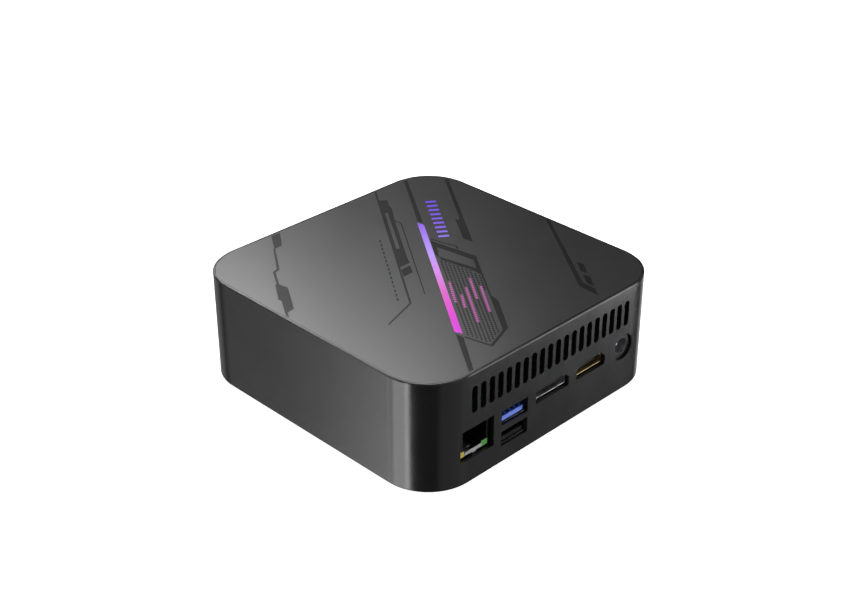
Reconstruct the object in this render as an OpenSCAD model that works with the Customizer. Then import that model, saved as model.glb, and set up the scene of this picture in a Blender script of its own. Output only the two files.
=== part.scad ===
// A square mini PC: a housing sleeve with a flush top panel, rear and front ports, and all it holds.
// X runs to the right seen from the front, Y to the rear, Z up. The origin is under the middle of the feet.

/* [Case] */
// Width and depth of the square case
case_w = 128; // [127:0.5:130]
// Height of the case, without its feet
case_h = 45.1; // [45:0.1:47]
// Corner radius of the case, seen from above
corner_r = 19.8; // [18:0.1:21]
// Rounding of the case's upper outer edge
top_round = 0.4; // [0.2:0.1:0.5]
// Rounding of the case's lower outer edge
low_round = 0.8; // [0.6:0.1:1]
// Thickness of the case walls
wall = 2; // [1.8:0.1:2.2]
// How far the rubber feet hold the case off the table
foot_h = 1.5; // [1:0.1:3]

/* [Top panel] */
// Width of the housing's rim around the panel
rim_w = 0.8; // [0.6:0.1:1]
// Gap between the rim and the panel
rim_gap = 0.2; // [0.1:0.05:0.3]
// Thickness of the top panel
panel_t = 1.7; // [1.5:0.1:2]
// Depth of the pockets that hold the dark inlay
pocket_t = 0.15; // [0.1:0.05:0.3]

/* [Rear vents] */
// Number of vent slots
vent_n = 20; // [10:1:20]
// Distance from one vent slot to the next
vent_pitch = 4.35; // [4:0.05:4.4]
// Width of a vent slot
vent_w = 2.8; // [2:0.1:3]
// Height of the lower and upper end of the vent slots above the underside
vent_z = [28.75, 39.6];

/* [Ports] */
// Height of the middle of the upper row of ports above the underside
port_z = 19.15; // [19:0.05:19.3]
// Height of the middle of the lower rear USB port above the underside
usb2_z = 10.45; // [10.3:0.05:10.6]
// Sideways place of the two rear USB ports
usb_x = 20.4; // [20:0.1:20.8]
// Sideways place of the Ethernet jack's case
lan_x = 39.5; // [39.3:0.1:39.6]
// Sideways place of the HDMI port
hdmi_x = -21.65; // [-22:0.05:-21]
// Sideways place and height of the DC power socket
dc_at = [-40.5, 19.7];
// Sideways places of the two front USB ports
front_usb_x = [-36, -16];
// Sideways place of the USB-C port
usb_c_x = 2; // [0:0.5:4]
// Sideways place of the audio socket
audio_x = 16; // [15:0.5:18]
// Sideways place of the power light
light_x = 27; // [26:0.5:28]
// Sideways place of the power button
button_x = 37; // [36:0.5:38]
// How far the power button travels
button_travel = 0.6; // [0.3:0.1:0.8]

/* [Boards] */
// Height of the main board's underside above the case's underside
board_z = 23.2; // [23.2:0.1:23.4]
// Thickness of the main board
board_t = 1.6; // [1.2:0.1:1.6]

/* [Blower] */
// Number of rotor blades
blade_n = 19; // [11:2:29]
// Radius over the blades
rotor_r = 29; // [26:0.5:30]
// Radius of the rotor's shaft
shaft_r = 1; // [0.8:0.1:1.2]
// Radial running clearance of the shaft in its bearing
shaft_gap = 0.03; // [0.02:0.01:0.08]

/* [Hidden] */
$fn = 48;
half = case_w / 2;
inner_half = half - wall;
hair = 0.05;

// Heights above the case's underside
cover_t = 1.8;
panel_z = case_h - panel_t;
ledge_t = 1.2;
ledge_w = 1.2;
board_top = board_z + board_t;
plate_z = board_top + 1.3;
plate_t = 2;
pipe_z = plate_z + plate_t;
pipe_t = 2.6;
fin_z = [pipe_z + pipe_t, 39.8];
fan_z = 31.2;
fan_sheet = 0.8;
fan_lid_z = 39.2;
frame_z = 40.2;
frame_t = 1.2;
light_board_z = frame_z + frame_t;
light_board_t = 0.8;
led_t = 0.4;
guide_z = light_board_z + light_board_t + led_t;

// Corner posts of the housing, and the screws that enter them from below and above
post_at = case_w / 2 - 12;
post_r = 3.2;
cover_screw_r = 1.45;
small_screw_r = 1.22;
thread_gap = 0.03;
screw_clear = 0.2;

// Pillars between the main board and the mid frame
pillar_at = [50, 38];

// 75 mm square mounting pattern with M4 threaded inserts
mount_pitch = 75;
insert_r = 2.9;
insert_hole_r = 1.65;
insert_h = 5;

// Rear and front port faces
rear_in = inner_half - 0.2;
usb_face = half - 1;
video_face = half - 1.6;
hdmi_tongue_face = half - 2.9;
dp_tongue_face = half - 2.7;
lan_face = half - 1.9;

// USB-A shell: outside width and height, sheet and depth
usb_out = [13.2, 5.7];
usb_sheet = 0.3;
usb_deep = 14;
usb_play = 0.3;

// HDMI and DisplayPort cut-outs: width, height, and how far each bevelled corner cuts in and down
hdmi_cut = [16.3, 6];
hdmi_low = 16.9;
hdmi_bevel = [2.6, 2.2];
dp_cut = [18.2, 5.7];
dp_low = 16.9;
dp_bevel = [2.2, 2];
video_play = 0.35;
video_rise = 0.3;
video_sheet = 0.25;

// Ethernet jack, the lip of its shield under the mouth, and the ground plate on the mouth's floor
lan_cut = [16.6, 12.8];
lan_low = 10;
lan_mouth_x = lan_x - 0.3;
lan_mouth = [11.9, 7.8];
lan_mouth_low = 13.4;
lan_lip_x = [lan_x - 3.7, lan_x + 4.9];
lan_plate_x = [lan_x + 1.2, lan_x + 5.4];

// Blower
fan_at = [0, 12];
fan_r = 33;
fan_wall = 1.2;
fan_mouth_y = 44.5;
hub_r = 11;
intake_r = 19;

// ---- Shared shapes ----

// Everything is drawn from the case's underside up, and stands on the feet.
module lift() translate([0, 0, foot_h]) children();

module four(at) for (x = [-1, 1], y = [-1, 1]) translate([x * at.x, y * at.y, 0]) children();

// A square outline with rounded corners, centred
module rounded(w, r) {
    square([w - 2 * r, w], center = true);
    square([w, w - 2 * r], center = true);
    for (x = [-1, 1], y = [-1, 1]) translate([x, y] * (w / 2 - r)) circle(r);
}

module slab(inset, low, high)
    translate([0, 0, low]) linear_extrude(high - low) rounded(case_w - 2 * inset, corner_r - inset);

// The case's upright section out to reach, its lower and upper edges rounded
module case_section(reach) {
    square([reach - low_round, case_h]);
    translate([0, low_round]) {
        square([reach, case_h - low_round - top_round]);
        square([reach - top_round, case_h - low_round]);
    }
    translate([reach - low_round, low_round]) circle(low_round);
    translate([reach - top_round, case_h - top_round]) circle(top_round);
}

// The case's outside, solid
module case_block() {
    for (a = [0, 90]) rotate([90, 0, a]) linear_extrude(case_w - 2 * corner_r, center = true) {
        case_section(half);
        mirror([1, 0]) case_section(half);
    }
    four([1, 1] * (half - corner_r)) rotate_extrude() case_section(corner_r);
}

// Pairs of low and high ends: between two offsets from a place, and centred on it
function around(at, low, high) = [at + low, at + high];

function wide(at, w) = [at - w / 2, at + w / 2];

module box(x, y, z) translate([x[0], y[0], z[0]]) cube([x[1] - x[0], y[1] - y[0], z[1] - z[0]]);

module rod(low, high, r) translate([0, 0, low]) cylinder(r = r, h = high - low);

// A round piece along Y in front of the middle, between two distances from it
module front_rod(near, far, r) translate([0, -far, 0]) rotate([90, 0, 0]) cylinder(r = r, h = near - far);

// An upright outline in X and Z, extruded from one Y to another
module along_y(y) translate([0, y[1], 0]) rotate([90, 0, 0]) linear_extrude(y[1] - y[0]) children();

// A slot with full round ends; w across, ends at low and high
module slot(w, low, high) {
    translate([-w / 2, low + w / 2]) square([w, high - low - w]);
    for (y = [low + w / 2, high - w / 2]) translate([0, y]) circle(w / 2);
}

// A D-shaped port outline standing on low, its upper left and right corners bevelled, shrunk by inset,
// with its foot raised by rise as well
module port_outline(size, low, left, right, inset = 0, rise = 0) {
    x = size[0] / 2 - inset;
    foot = low + inset + rise;
    top = low + size[1] - inset;
    cut = inset * 0.6;
    polygon([[-x, foot], [x, foot], [x, top - right[1] + cut], [x - right[0] + cut, top],
        [-x + left[0] - cut, top], [-x, top - left[1] + cut]]);
}

module hdmi_outline(inset = 0, rise = 0)
    translate([hdmi_x, 0]) port_outline(hdmi_cut, hdmi_low, hdmi_bevel, hdmi_bevel, inset, rise);

module dp_outline(inset = 0, rise = 0) port_outline(dp_cut, dp_low, dp_bevel, [1, 1], inset, rise);

module centred(x, z, size) translate([x - size[0] / 2, z - size[1] / 2]) square(size);

// ---- Top panel artwork, seen from above ----

// All the slanted lines climb at this angle
art_angle = 54.6;

light_bar = [[-23.9, -26.7], [-23.2, -29.9], [27.2, 40.3], [26.1, 43.2]];

bar_head = [[27.6, 45.2], [27.9, 41.6], [42.7, 62.3], [40.4, 62.3]];
bar_tail = [[-24.9, -28.2], [-24, -30.4], [-46.4, -61.4], [-48.2, -61.4]];
left_stripe = [[-61.2, -49.4], [-27.2, -2.6], [-26.4, -7], [-36.6, -21.6], [-36.4, -19.6], [-38.5, -21],
    [-60.2, -50.9]];
upper_stripe = [[-62.4, 6.9], [-32.4, 49.5], [-32.1, 55.6], [-28.9, 59.9], [-29.4, 50.6], [-30.6, 48.6],
    [-62.4, 4.6]];
upper_tabs = [
    [[-43.1, 37.3], [-43.8, 40.3], [-39.3, 46], [-38.7, 43.2]],
    [[-37.2, 45.2], [-37.8, 48.5], [-33.3, 54.3], [-33, 51.3]]];

// Middle group: a long thin line with a bend, a thick bar and a block on its left, and a thin branch
middle_line = [[-31.1, -62.3], [-30, -62.3], [24.4, 14.5], [40.5, 19.9], [40.2, 20.6], [23.9, 15.2]];
thick_bar = [[-29, -53.2], [-26, -49.2], [-24.9, -46.4], [-17.9, -37.3], [0, -11.8], [2.7, -7.6], [8, -7.6],
    [-26.2, -55.4]];
thick_bar_slot = [[-21.1, -44.9], [-3.7, -20], [-2.4, -18.6], [-1.7, -19.6], [-19.6, -45]];
upper_block = [[4, -6], [7, -1.4], [12, -1.3], [8.8, -6]];
branch_line = [[-18.4, -37.6], [-18.5, -34.9], [-17.9, -33], [15.4, 13.9], [15.8, 13.6], [-17.4, -33.3],
    [-17.9, -35], [-17.4, -37.3]];

right_foot = [[21.7, -62.3], [25.8, -56.3], [28.5, -53.1], [32.2, -52.9], [26.1, -62.3]];
right_line = [[31.6, -53.2], [41.5, -38.7], [44, -38], [62.2, -8.6], [62.4, -10.2], [44.6, -39],
    [42.1, -39.7], [32.3, -53.6]];
right_block = [[49.3, -31], [48.3, -25.8], [56.9, -12.2], [60.9, -11.6], [60, -13.8], [56.2, -19],
    [56.7, -21.3], [50.4, -30.6]];

// Frame of the dot field beside the light bar
field_frame = [[-16, -15.2], [-19.4, 6.8], [-18, 8.5], [-1, 31.9], [-0.2, 36], [6.7, 45.4], [11.7, 51.9],
    [25, 56.8], [27.6, 45.4], [26.7, 45.2], [24.5, 55.3], [14, 51.4], [0.8, 33.2], [-9.9, 18.2],
    [-10.2, 14], [-7.7, -0.5], [-9.3, -5.9]];
field_window = [[-16.4, 8], [-12.3, 13.4], [-8.9, -3.3], [-13.9, -9.4]];
field_outer = [[-17.2, -16.4], [-20, -4], [-18.5, -1.9], [-18.4, -2.8], [-19.2, -4.2], [-16.7, -15.7]];

// Slanted lit bars in the dot field: lower end and upper end of each centre line
lit_rows = [[[-3.6, 23.9], [8, 39.4]], [[-4.9, 17], [4.5, 29.8]], [[1.2, 20.9], [16.6, 41.8]],
    [[6.3, 23.6], [12.2, 31]], [[2.6, 13.6], [11.9, 26]]];
lit_row_w = 0.9;

// A row of plain ticks, where it starts, and the pitch, width and height of one tick
tick_from = [-40.6, -39.6];
tick_n = 9;
tick_pitch = 3.9;
tick = [1.7, 4.4];

// A dashed line of small marks
dash_from = [-1.6, -28.6];
dash_n = 15;
dash_pitch = 3.35;
dash = [2, 0.7];

module bar_between(a, b, w) {
    d = b - a;
    translate(a) rotate(atan2(d.y, d.x)) translate([0, -w / 2]) square([norm(d), w]);
}

module art_row(from, n, pitch, size)
    translate(from) rotate(art_angle)
        for (i = [0:n - 1]) translate([i * pitch, 0]) square(size, center = true);

module marks_outline() art_row(tick_from, tick_n, tick_pitch, tick);

module dots_outline() for (row = lit_rows) bar_between(row[0], row[1], lit_row_w);

module inlay_outline() {
    for (shape = concat([bar_head, bar_tail, left_stripe, upper_stripe, right_foot, right_line, right_block,
            field_outer], upper_tabs))
        polygon(shape);
    difference() {
        union() for (shape = [middle_line, thick_bar, upper_block, branch_line]) polygon(shape);
        polygon(thick_bar_slot);
    }
    difference() {
        polygon(field_frame);
        polygon(field_window);
    }
    art_row(dash_from, dash_n, dash_pitch, dash);
}

// ---- Case ----

module rear_cuts() along_y([inner_half - 1, half + 1]) {
    for (i = [0:vent_n - 1])
        translate([(i - (vent_n - 1) / 2) * vent_pitch, 0]) slot(vent_w, vent_z[0], vent_z[1]);
    for (z = [port_z, usb2_z]) centred(usb_x, z, usb_out + [1, 1] * 2 * usb_play);
    centred(lan_x, lan_low + lan_cut[1] / 2, lan_cut);
    hdmi_outline();
    dp_outline();
    translate(dc_at) circle(5.5);
}

module front_cuts() along_y([-half - 1, -inner_half + 1]) {
    for (x = front_usb_x) centred(x, port_z, usb_out + [1, 1] * 2 * usb_play);
    translate([usb_c_x, port_z]) rotate(90) slot(3.9, -4.8, 4.8);
    translate([audio_x, port_z]) circle(3.2);
    translate([light_x, port_z]) circle(0.9);
    translate([button_x, port_z]) circle(5.05);
}

// A hollow screw post in each corner, joined to the wall by a rib
module corner_posts() four([post_at, post_at]) rod(cover_t, frame_z, post_r);

module post_ribs() translate([0, 0, cover_t]) linear_extrude(frame_z - cover_t) intersection() {
    rounded(case_w - wall, corner_r - wall / 2);
    for (a = [45:90:315]) rotate(a) translate([post_at * sqrt(2), -1]) square([20, 2]);
}

module housing() color("#3c3d40") lift() difference() {
    union() {
        difference() {
            case_block();
            slab(wall, -1, panel_z - ledge_t);
            slab(wall + ledge_w, -1, case_h + 1);
            slab(rim_w, panel_z, case_h + 1);
        }
        corner_posts();
        post_ribs();
    }
    four([post_at, post_at]) {
        rod(cover_t - 1, 16, cover_screw_r + thread_gap);
        rod(frame_z - 6, frame_z + 1, small_screw_r + thread_gap);
    }
    rear_cuts();
    front_cuts();
}

module intake_slots() for (y = [-1, 1], i = [-7:7]) translate([i * 4, y * 13]) slot(1.8, -11, 11);

module bottom_cover() color("#2f3033") lift() difference() {
    union() {
        linear_extrude(cover_t) difference() {
            rounded(2 * inner_half - 0.3, corner_r - wall - 0.15);
            intake_slots();
        }
        four([1, 1] * mount_pitch / 2) rod(cover_t / 2, insert_h + 0.8, 4.5);
    }
    four([1, 1] * mount_pitch / 2) rod(-1, insert_h, insert_r);
    four([post_at, post_at]) {
        rod(-1, 0.4, 5.9);
        rod(-1, 0.9, 3);
        rod(-1, cover_t + 1, cover_screw_r + screw_clear);
    }
}

module mount_inserts() color("#b08d45") lift() four([1, 1] * mount_pitch / 2) difference() {
    rod(0.05, insert_h, insert_r);
    rod(-1, insert_h + 1, insert_hole_r);
}

module cover_screws() color("#9a9da1") lift() four([post_at, post_at]) difference() {
    union() {
        rod(-0.3, 0.9, 2.8);
        rod(0.9, 14, cover_screw_r);
    }
    for (a = [0, 90]) rotate(a) translate([0, 0, -0.3]) cube([3.2, 0.6, 1.2], center = true);
}

module rubber_feet() color("#1b1b1c") lift() four([post_at, post_at]) difference() {
    union() {
        rod(-foot_h + 0.3, 0.4, 5.8);
        translate([0, 0, -foot_h]) cylinder(r1 = 5.5, r2 = 5.8, h = 0.3);
    }
    rod(-foot_h - 1, 1, 3.2);
}

// ---- Top panel and its lights ----

module top_panel() color("#55575b") lift() difference() {
    slab(rim_w + rim_gap, panel_z, case_h);
    translate([0, 0, case_h - pocket_t]) linear_extrude(1) inlay_outline();
    translate([0, 0, panel_z - 1]) linear_extrude(panel_t + 2) {
        polygon(light_bar);
        marks_outline();
        dots_outline();
    }
}

module top_inlay() color("#34353a") lift()
    translate([0, 0, case_h - pocket_t]) linear_extrude(pocket_t - 0.05) inlay_outline();

module lens() translate([0, 0, panel_z]) linear_extrude(panel_t - 0.05) children();

module light_bar_lens() color("#c77df0") lift() lens() polygon(light_bar);

module light_marks_lens() color("#8f7bf5") lift() lens() marks_outline();

module light_dots_lens() color("#e07ad8") lift() lens() dots_outline();

light_board_outline = [[-45.5, -36.5], [-40, -44.5], [-17, -30], [32, 38], [29.5, 47], [10, 44], [-12, 22],
    [-26, -8]];
light_guide_outline = [[-44.6, -37.6], [-39.8, -43.2], [-17.6, -29], [31, 38.6], [28.6, 45.8], [10.6, 42.8],
    [-11.4, 21], [-25, -9]];

module light_guide() color("#d8dce2") lift()
    translate([0, 0, guide_z]) linear_extrude(panel_z - guide_z) polygon(light_guide_outline);

module light_board() color("#1f3d2b") lift()
    translate([0, 0, light_board_z]) linear_extrude(light_board_t) polygon(light_board_outline);

bar_foot = [-22, -26.4];
led_step = 9.4;

module light_leds() color("#e8e6d8") lift() translate([0, 0, light_board_z + light_board_t]) {
    translate(bar_foot) rotate(art_angle)
        for (i = [0:8]) translate([i * led_step, 0, led_t / 2]) cube([3.2, 2.2, led_t], center = true);
    translate(tick_from) rotate(art_angle)
        for (i = [0:3]) translate([3 + i * 8, 0, led_t / 2]) cube([3.2, 2.2, led_t], center = true);
    translate([1, 24]) rotate(art_angle)
        for (i = [0:1]) translate([i * led_step, 0, led_t / 2]) cube([3.2, 2.2, led_t], center = true);
}

// A flat ribbon from the light board down to the main board, through a window in the mid frame
ribbon_x = [-8, 0];
ribbon_y = -34;

module light_cable() color("#c9c2b0") lift() {
    box(ribbon_x, [ribbon_y - 0.3, ribbon_y], [board_top + 2.2, light_board_z + light_board_t + 0.3]);
    box(ribbon_x, [ribbon_y, -22.5], around(light_board_z + light_board_t, 0, 0.3));
}

// ---- Mid frame, pillars and main board ----

module mid_frame() color("#2b2c2f") lift() translate([0, 0, frame_z]) linear_extrude(frame_t) difference() {
    rounded(case_w - 7, corner_r - 3.3);
    four([post_at, post_at]) circle(small_screw_r + screw_clear);
    four(pillar_at) circle(small_screw_r + screw_clear);
    translate(fan_at) circle(18);
    translate([ribbon_x[0] - 2, ribbon_y - 3]) square([ribbon_x[1] - ribbon_x[0] + 4, 5]);
    for (x = [-1, 1]) translate([x * 46, 0]) square([14, 50], center = true);
    translate([0, -50]) square([60, 10], center = true);
}

// A pan-head screw standing on top of z = 0, its shank going down
module small_screw(shank) difference() {
    union() {
        rod(0, 1.4, 2.2);
        rod(-shank, 0, small_screw_r);
    }
    for (a = [0, 90]) rotate(a) translate([0, 0, 1.4]) cube([2.6, 0.6, 1.4], center = true);
}

module board_screws() color("#a7aab0") lift() {
    four([post_at, post_at]) translate([0, 0, frame_z + frame_t]) small_screw(6);
    four(pillar_at) translate([0, 0, frame_z + frame_t]) small_screw(6);
    four(pillar_at) translate([0, 0, board_z]) mirror([0, 0, 1]) small_screw(6);
}

module board_pillars() color("#b9975a") lift() four(pillar_at) difference() {
    translate([0, 0, board_top]) cylinder(r = 2.8, h = frame_z - board_top, $fn = 6);
    rod(board_top - 1, board_top + 5.5, small_screw_r + thread_gap);
    rod(frame_z - 5.5, frame_z + 1, small_screw_r + thread_gap);
}

cpu_at = [0, 10];
cooler_screw_at = [17, 20.5];
fan_ear_low = [26, 23];
fan_ear_high = [35, 26];
cooler_screw_r = 0.95;

// The four screws of the cold plate, and the four of the blower
module plate_screw_places() translate(cpu_at) four(cooler_screw_at) children();

module low_ears() for (x = [-1, 1]) translate(fan_at + [x * fan_ear_low.x, -fan_ear_low.y]) children();

module high_ears() for (x = [-1, 1]) translate(fan_at + [x * fan_ear_high.x, fan_ear_high.y]) children();

module main_board() color("#1d5b3a") lift()
    translate([0, 0, board_z]) linear_extrude(board_t) difference() {
        square([112, 119], center = true);
        four([52.5, 53.5]) square([9, 15], center = true);
        four(pillar_at) circle(small_screw_r + screw_clear);
        plate_screw_places() circle(cooler_screw_r + 0.1);
        high_ears() circle(cooler_screw_r + thread_gap);
        translate([dc_at[0] - 6, 56.5]) square([12, 10]);
    }

module cpu_package() color("#2c6b45") lift()
    translate([cpu_at.x, cpu_at.y, board_top + 0.4]) cube([28, 25, 0.8], center = true);

module cpu_die() color("#8c8f94") lift()
    translate([cpu_at.x, cpu_at.y, board_top + 0.8 + 0.25]) cube([12, 10, 0.5], center = true);

// ---- Cooler ----

module cold_plate() color("#b87346") lift()
    translate([0, 0, plate_z]) linear_extrude(plate_t) difference() {
        translate([-30, -15]) square([60, 49]);
        plate_screw_places() circle(cooler_screw_r + 0.1);
        low_ears() circle(cooler_screw_r + thread_gap);
    }

// A flat pipe that runs back from the plate and turns sideways under the fins
pipe_w = 7;
pipe_turn = 10;

module pipe_outline() {
    translate([8 - pipe_w / 2, -11]) square([pipe_w, 53.5]);
    translate([8 + pipe_turn, 42.5]) intersection() {
        difference() {
            circle(pipe_turn + pipe_w / 2);
            circle(pipe_turn - pipe_w / 2);
        }
        translate([-20, 0]) square([20, 20]);
    }
    translate([8 + pipe_turn, 42.5 + pipe_turn - pipe_w / 2]) square([20, pipe_w]);
    translate([8, -11]) circle(pipe_w / 2);
    translate([38, 42.5 + pipe_turn]) circle(pipe_w / 2);
}

module heat_pipes() color("#c47b4a") lift() translate([0, 0, pipe_z]) linear_extrude(pipe_t) {
    pipe_outline();
    mirror([1, 0]) pipe_outline();
}

fin_n = 50;
fin_pitch = 1.6;
fin_t = 0.3;

module heatsink_fins() color("#a9acb0") lift() along_y([45.5, 59.5]) difference() {
    translate([-fin_n * fin_pitch / 2, fin_z[0]]) square([fin_n * fin_pitch + fin_t, fin_z[1] - fin_z[0]]);
    for (i = [0:fin_n - 1])
        translate([-fin_n * fin_pitch / 2 + fin_t + i * fin_pitch, fin_z[0] + fin_t])
            square([fin_pitch - fin_t, fin_z[1] - fin_z[0] - 2 * fin_t]);
}

// A low-head screw, its head standing on z = 0
module cooler_screw(shank) {
    rod(0, fan_sheet, 1.9);
    rod(-shank, 0, cooler_screw_r);
}

module cooler_screws() color("#8f9297") lift() {
    plate_screw_places() translate([0, 0, pipe_z]) cooler_screw(pipe_z - board_z);
    low_ears() translate([0, 0, fan_lid_z]) cooler_screw(fan_lid_z - plate_z - 0.5);
    high_ears() translate([0, 0, fan_lid_z]) cooler_screw(fan_lid_z - board_z);
}

// The blower's outline: a round scroll with a straight mouth to the rear, and four screw ears
module fan_outline(r) {
    translate(fan_at) circle(r);
    translate([-r, fan_at.y]) square([2 * r, fan_mouth_y - fan_at.y + (r < fan_r ? 1 : 0)]);
}

module ear_outlines() {
    low_ears() circle(3.2);
    high_ears() circle(3.2);
}

module fan_case() color("#1e1f21") lift() difference() {
    union() {
        translate([0, 0, fan_z]) linear_extrude(fan_lid_z - fan_z) {
            fan_outline(fan_r);
            ear_outlines();
        }
        low_ears() rod(pipe_z, fan_z + 1, 3.2);
        high_ears() rod(board_top, fan_z + 1, 3.2);
    }
    translate([0, 0, fan_z + fan_sheet]) linear_extrude(20) difference() {
        fan_outline(fan_r - fan_wall);
        polygon([[fan_r, 34], [fan_r, 45.5], [27, 45.5], [29, 38]]);
        ear_outlines();
    }
    translate([fan_at.x, fan_at.y, fan_z - 1]) linear_extrude(3) difference() {
        circle(intake_r);
        circle(12);
        for (a = [0, 90]) rotate(a) square([50, 3], center = true);
    }
    low_ears() rod(0, 50, cooler_screw_r + thread_gap);
    high_ears() rod(0, 50, cooler_screw_r + thread_gap);
}

module fan_cover() color("#6e7175") lift()
    translate([0, 0, fan_lid_z]) linear_extrude(fan_sheet) difference() {
        union() {
            fan_outline(fan_r);
            ear_outlines();
        }
        translate(fan_at) circle(intake_r);
        low_ears() circle(2);
        high_ears() circle(2);
    }

module at_fan() lift() translate([fan_at.x, fan_at.y, 0]) children();

module fan_bearing() color("#b58f47") at_fan() difference() {
    rod(fan_z + fan_sheet, 36.8, 2.2);
    rod(fan_z, 38, shaft_r + shaft_gap);
}

module fan_stator() color("#a1552f") at_fan() difference() {
    rod(fan_z + fan_sheet + 0.2, 36.4, 8.4);
    rod(fan_z, 38, 2.25);
    for (i = [0:8]) rotate(i * 40) box([4.2, 9], [-0.6, 0.6], [fan_z, 38]);
}

// One curved blade: its two sides follow the same sweep, a blade's thickness apart
blade_t = 0.7;
blade_sweep = 34;
blade_steps = 6;

function blade_point(i, side) =
    let (t = i / blade_steps, r = hub_r - 0.5 + (rotor_r - hub_r + 0.5) * t, a = blade_sweep * t * t)
    [r * cos(a) - side * blade_t / 2 * sin(a + 20), r * sin(a) + side * blade_t / 2 * cos(a + 20)];

module blade() polygon(concat([for (i = [0:blade_steps]) blade_point(i, -1)],
    [for (i = [blade_steps:-1:0]) blade_point(i, 1)]));

module fan_rotor() color("#242528") at_fan() difference() {
    union() {
        rod(33, 38.8, hub_r);
        translate([0, 0, 33]) linear_extrude(5.4)
            for (i = [0:blade_n - 1]) rotate(i * 360 / blade_n) blade();
        difference() {
            rod(33, 33.6, 22);
            rod(32, 34, 21);
        }
    }
    rod(30, 37.8, hub_r - 1);
    rod(30, 40, shaft_r);
}

module fan_shaft() color("#c9ccd0") at_fan() rod(fan_z + fan_sheet + 0.3, 38.5, shaft_r);

// ---- Cables: a round cable swept along hand-placed points, smoothed between them ----

function curve(p, i, t) =
    let (n = len(p) - 1, a = p[max(i - 1, 0)], b = p[i], c = p[min(i + 1, n)], d = p[min(i + 2, n)])
    0.5 * (2 * b + (c - a) * t + (2 * a - 5 * b + 4 * c - d) * t * t + (3 * b - a - 3 * c + d) * t * t * t);

function smooth_route(p, steps) =
    concat([for (i = [0:len(p) - 2], s = [0:steps - 1]) curve(p, i, s / steps)], [p[len(p) - 1]]);

function unit(v) = v / norm(v);

cable_sides = 8;

module cable(points, r, steps = 4) {
    p = smooth_route(points, steps);
    n = len(p) - 1;
    rings = [for (i = [0:n])
        let (dir = unit(p[min(i + 1, n)] - p[max(i - 1, 0)]),
            across = unit(cross(dir, abs(dir.z) > 0.8 ? [0.3, 1, 0] : [0, 0, 1])),
            up = cross(across, dir))
        for (k = [0:cable_sides - 1])
            p[i] + r * (cos(k * 360 / cable_sides) * across + sin(k * 360 / cable_sides) * up)];
    sides = [for (i = [0:n - 1], k = [0:cable_sides - 1])
        let (k2 = (k + 1) % cable_sides, a = i * cable_sides, b = a + cable_sides)
        [a + k, b + k, b + k2, a + k2]];
    start = [[for (k = [0:cable_sides - 1]) k]];
    end = [[for (k = [cable_sides - 1:-1:0]) n * cable_sides + k]];
    polyhedron(concat(rings), concat(sides, start, end));
}

fan_cable_route = [[-33.2, 6, 35], [-36, 2, 34], [-36.5, -8, 30.5], [-33, -18, 28], [-27, -28, 27.5],
    [-24, -33, 27.5], [-24, -35.8, 27.5]];

lead_r = 0.5;
right_lead = [[60.8, -12, 14], [59, -11, 13.4], [55, -6, 13], [48, -2, 15], [43, -1, 16.4],
    [40.4, -1, 17.3], [40, -1, 18.75]];
left_lead = [[-60.8, -12, 14], [-58.5, -11, 10.8], [-50, -8, 8], [-32, -2, 7.5], [-10, 4, 7.5], [12, 6, 8],
    [25, 3, 11], [31, -0.6, 16], [32, -1, 18.75]];

module fan_cable() color("#222222") lift() cable(fan_cable_route, 0.8, 3);

module antenna_leads() color("#3a3a3a") lift() {
    cable(right_lead, lead_r, 3);
    cable(left_lead, lead_r, 4);
}

// ---- Cards under the main board ----

memory_x = -12;
memory_w = 67.6;
// Each memory socket: how far its front edge lies along Y, and the height of its module
memory_rows = [[-33.5, 20.3], [-40.2, 15.8]];
memory_t = 1;

module memory_socket(y, z) difference() {
    union() {
        box(around(memory_x, -35.5, 35.5), [y - 6.4, y], [z - 1.8, board_z]);
        for (x = [-1, 1])
            box(wide(memory_x + x * 34.9, 1.2), [y - 1, y + 24], [z - 1, z + 2]);
    }
    box(wide(memory_x, memory_w + 0.2), [y - 2, y + 40], [z - hair, z + memory_t + hair]);
}

ssd_x = [-41, 39];
ssd_y = [8, 30];
wifi_x = [25, 47];
wifi_y = [-28, 2];
card_z = 20;
card_t = 0.8;
ssd_hole = [-41, 19];
wifi_hole = [36, 2];

module card_sockets() color("#1c1c1e") lift() {
    for (row = memory_rows) memory_socket(row[0], row[1]);
    difference() {
        box([37.5, 43.5], ssd_y, [18.9, board_z]);
        box([30, 39 + hair], [ssd_y[0] + 0.9, ssd_y[1] - 0.9], [card_z - hair, card_z + card_t + hair]);
    }
    difference() {
        box(wifi_x, [-33, -27], [18.9, board_z]);
        box([wifi_x[0] + 0.9, wifi_x[1] - 0.9], [-28 - hair, 0], [card_z - hair, card_z + card_t + hair]);
    }
}

module memory_modules() color("#1f6b3f") lift() for (row = memory_rows)
    box(wide(memory_x, memory_w), [row[0] - 2, row[0] + 28], [row[1], row[1] + memory_t]);

module memory_chips() color("#202124") lift() {
    for (row = memory_rows, x = [-24, -8, 8, 24], z = [row[1] - 1, row[1] + memory_t])
        translate([memory_x + x - 4.5, row[0] + 9, z]) cube([9, 12, 1]);
    for (x = [-32, -12, 12]) translate([x, 10.5, card_z - 1.4]) cube([16, 17, 1.4]);
}

module ssd_card() color("#17452c") lift() difference() {
    union() {
        box([ssd_x[0], 36], ssd_y, [card_z, card_z + card_t]);
        box([30, ssd_x[1]], [ssd_y[0] + 1, ssd_y[1] - 1], [card_z, card_z + card_t]);
    }
    translate(ssd_hole) rod(card_z - 1, card_z + 2, 1.6);
}

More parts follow.
